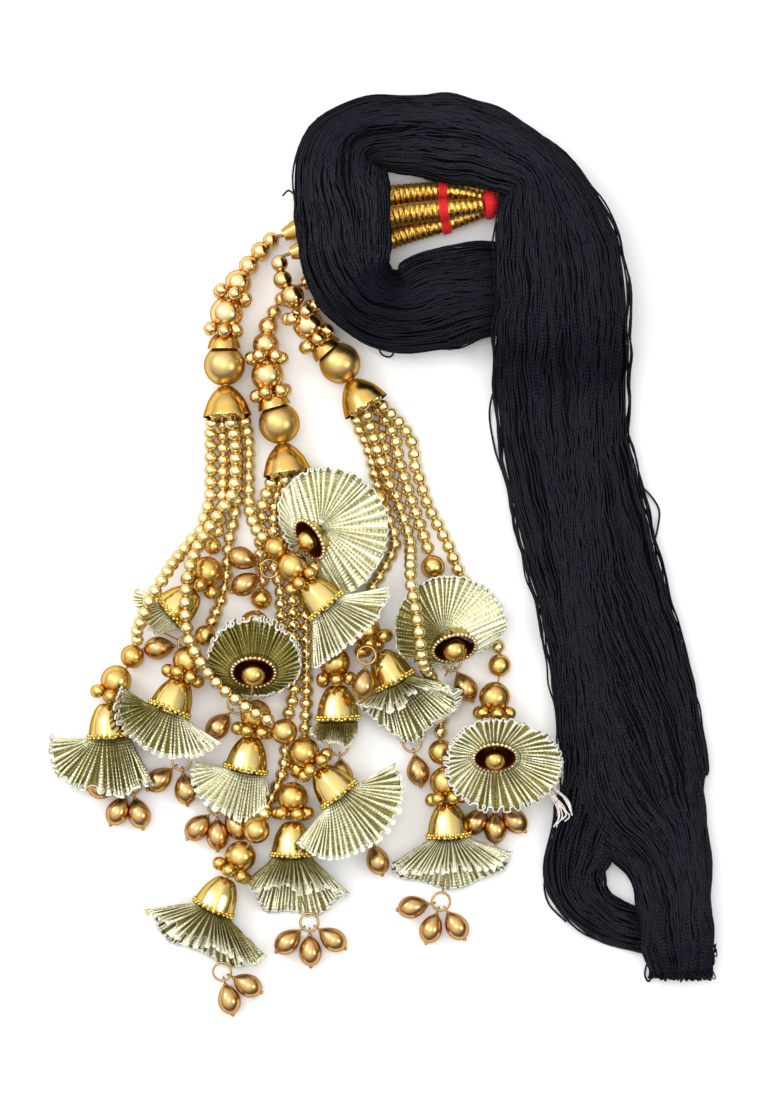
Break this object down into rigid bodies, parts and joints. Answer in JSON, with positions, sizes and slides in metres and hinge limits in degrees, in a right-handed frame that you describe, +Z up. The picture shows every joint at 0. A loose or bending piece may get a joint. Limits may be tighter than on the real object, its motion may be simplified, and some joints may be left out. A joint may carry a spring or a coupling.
{
  "type": "paranda hair tassel",
  "caption": "Hair-braid tassel of black threads ending in gold cords, bells, bead strings, pleated ribbon skirts and teardrop beads, shown lying flat and folded",
  "frame": {"origin": "on the surface it lies on, under the middle of the whole object's box", "axes": "+Z up from the surface, +Y towards the cords and bells end of the layout, +X towards the thread hank"},
  "size_m": [0.2204, 0.3048, 0.0257],
  "materials": {
    "black_thread": "crinkled synthetic thread with a soft sheen",
    "red_thread": "wound bright red thread",
    "gold_cord": "cord closely wound with metallic gold thread",
    "gold_metal": "polished thin sheet",
    "gold_bead": "metallised, glossy",
    "satin_bead": "metallised, satin",
    "strand_bead": "metallised, pale gold, glossy",
    "pearl_bead": "pearl gold, satin",
    "ribbon": "woven ribbon with a metallic face, finely ribbed",
    "copper_drop": "metallised, rose gold, satin"
  },
  "bodies": {
    "root": {"thread_hank": "black_thread", "hank_end_loop": "black_thread", "red_knob": "red_thread", "red_tie": "red_thread", "cord_caps": "gold_metal", "wrapped_cord_1": "gold_cord", "wrapped_cord_2": "gold_cord", "wrapped_cord_3": "gold_cord", "string_beads_1": "gold_bead", "string_beads_2": "gold_bead", "string_beads_3": "gold_bead", "string_thread_1": "red_thread", "string_thread_2": "red_thread", "string_thread_3": "red_thread", "matte_bead_1": "satin_bead", "matte_bead_2": "satin_bead", "matte_bead_3": "satin_bead", "bell_1": "gold_metal", "bell_2": "gold_metal", "bell_3": "gold_metal", "strand_1": "strand_bead", "strand_2": "strand_bead", "strand_3": "strand_bead", "strand_4": "strand_bead", "strand_5": "strand_bead", "strand_6": "strand_bead", "strand_7": "strand_bead", "strand_8": "strand_bead", "strand_9": "strand_bead", "strand_10": "strand_bead", "strand_11": "strand_bead", "strand_12": "strand_bead", "strand_13": "strand_bead", "strand_14": "strand_bead", "strand_15": "strand_bead", "skirt_1": "ribbon", "skirt_2": "ribbon", "skirt_3": "ribbon", "skirt_4": "ribbon", "skirt_5": "ribbon", "skirt_6": "ribbon", "skirt_7": "ribbon", "skirt_8": "ribbon", "skirt_9": "ribbon", "skirt_10": "ribbon", "skirt_11": "ribbon", "skirt_12": "ribbon", "skirt_13": "ribbon", "skirt_14": "ribbon", "skirt_15": "ribbon", "bud_beads_1": "pearl_bead", "bud_beads_2": "pearl_bead", "bud_beads_3": "pearl_bead", "bud_caps_1": "gold_metal", "bud_caps_2": "gold_metal", "bud_caps_3": "gold_metal", "drops_1": "copper_drop", "drops_2": "copper_drop", "drops_3": "copper_drop"}
  },
  "joints": []
}
